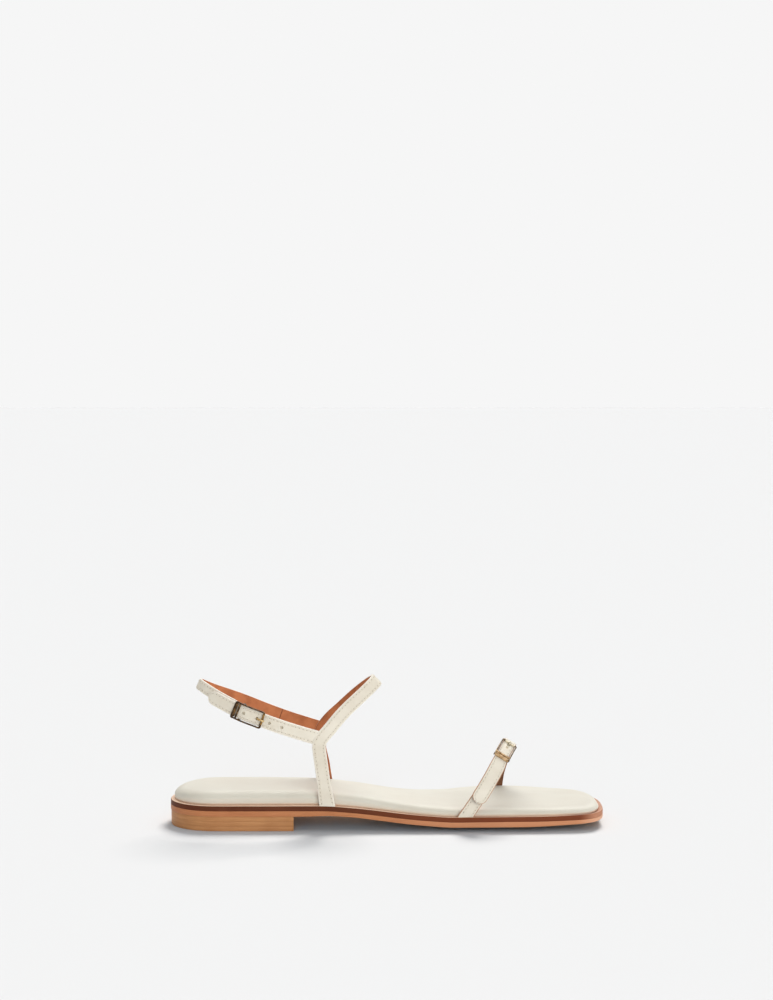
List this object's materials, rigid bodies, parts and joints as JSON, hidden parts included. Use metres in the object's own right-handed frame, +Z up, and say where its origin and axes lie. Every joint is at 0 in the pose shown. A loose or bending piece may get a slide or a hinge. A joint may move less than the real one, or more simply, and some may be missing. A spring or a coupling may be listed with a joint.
{
  "type": "flat sandal",
  "caption": "Flat leather sandal for the right foot with a padded insole, an instep band with a buckled heel strap, and a buckled toe strap.",
  "frame": {"origin": "on the floor, under the middle of the sole's length and width", "axes": "+X towards the toe, +Y towards the inner side of the foot, +Z up from the floor"},
  "size_m": [0.2616, 0.086, 0.0904],
  "materials": {
    "strap_leather": "smooth cream leather with a satin surface",
    "insole_leather": "smooth cream leather over soft padding",
    "midsole_leather": "dark brown waxed edge",
    "outsole_leather": "orange-tan sole leather with a smooth edge",
    "stacked_leather": "tan stacked leather lifts with a waxed edge",
    "buckle_metal": "antique gold, polished on its high edges"
  },
  "bodies": {
    "root": {"outsole": "outsole_leather", "heel": "stacked_leather", "midsole": "midsole_leather", "insole": "insole_leather", "ankle_upper": "strap_leather", "toe_strap": "strap_leather", "toe_chape": "strap_leather", "heel_buckle": "buckle_metal", "heel_prong": "buckle_metal", "toe_buckle": "buckle_metal", "toe_prong": "buckle_metal"}
  },
  "joints": []
}
